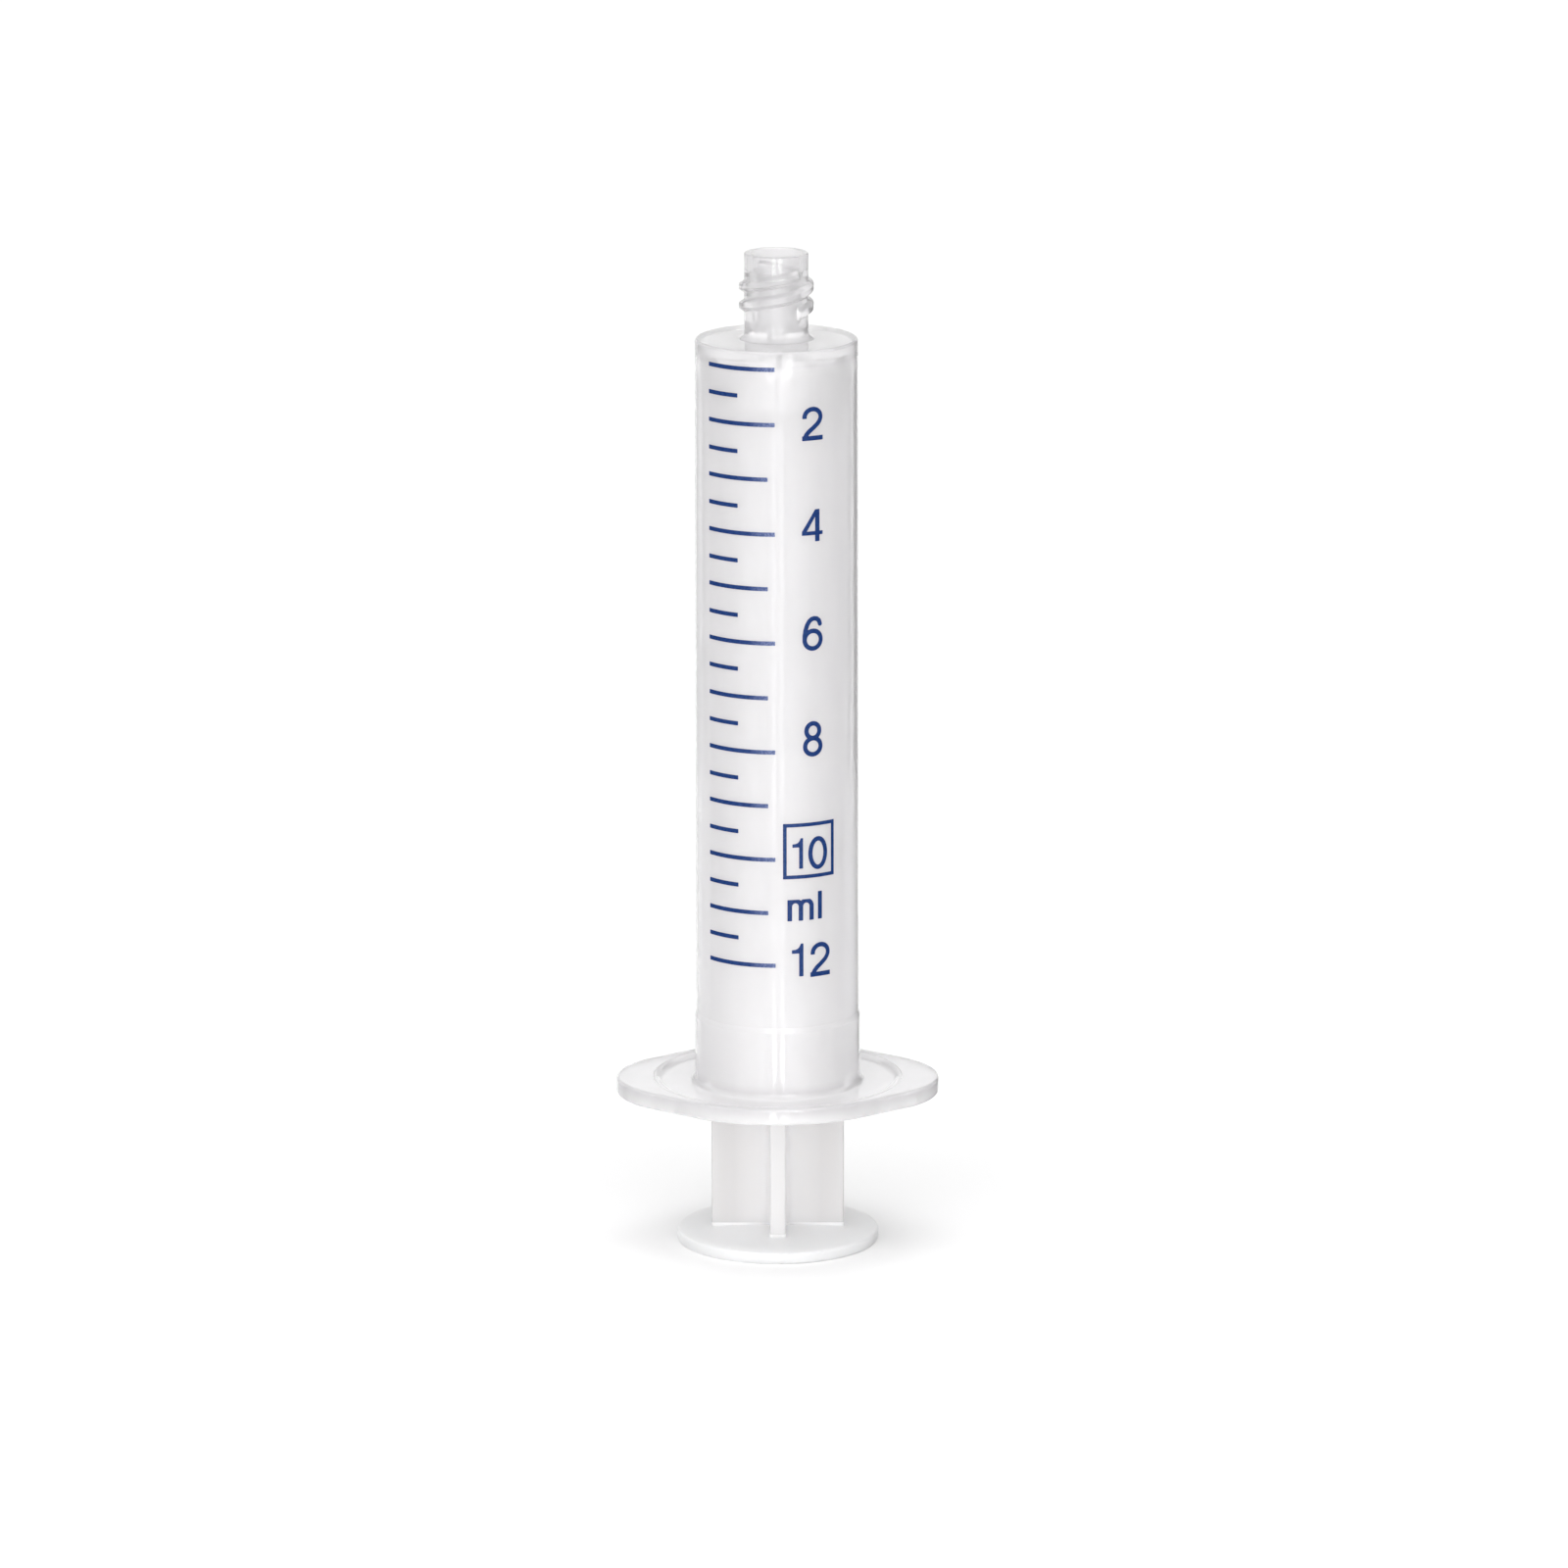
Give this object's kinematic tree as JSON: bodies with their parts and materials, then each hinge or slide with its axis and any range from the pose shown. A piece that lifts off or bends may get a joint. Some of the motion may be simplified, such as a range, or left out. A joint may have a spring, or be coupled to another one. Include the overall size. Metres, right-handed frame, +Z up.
{
  "type": "luer lock syringe",
  "caption": "Plastic syringe: clear graduated tube with an oval finger flange and a threaded lock neck, and a ribbed plunger that slides inside it.",
  "frame": {"origin": "centre of the thumb rest's underside, with the plunger fully home", "axes": "+Z up the syringe's axis to the mouth of the neck, X along the finger flange's long way, the printed scale faces -Y"},
  "size_m": [0.034, 0.0284, 0.1059],
  "materials": {
    "clear_polypropylene": "clear, very slightly milky, polished mould surface",
    "plunger_polyethylene": "natural translucent white, satin mould surface",
    "scale_ink": "dark blue pad-printed ink"
  },
  "bodies": {
    "plunger_body": {"plunger": "plunger_polyethylene"},
    "barrel_body": {"barrel": "clear_polypropylene"}
  },
  "joints": [
    {"name": "barrel_slide", "type": "slide", "parent": "plunger_body", "child": "barrel_body", "axis": [0, 0, 1], "range_m": [0, 0.06327]}
  ]
}
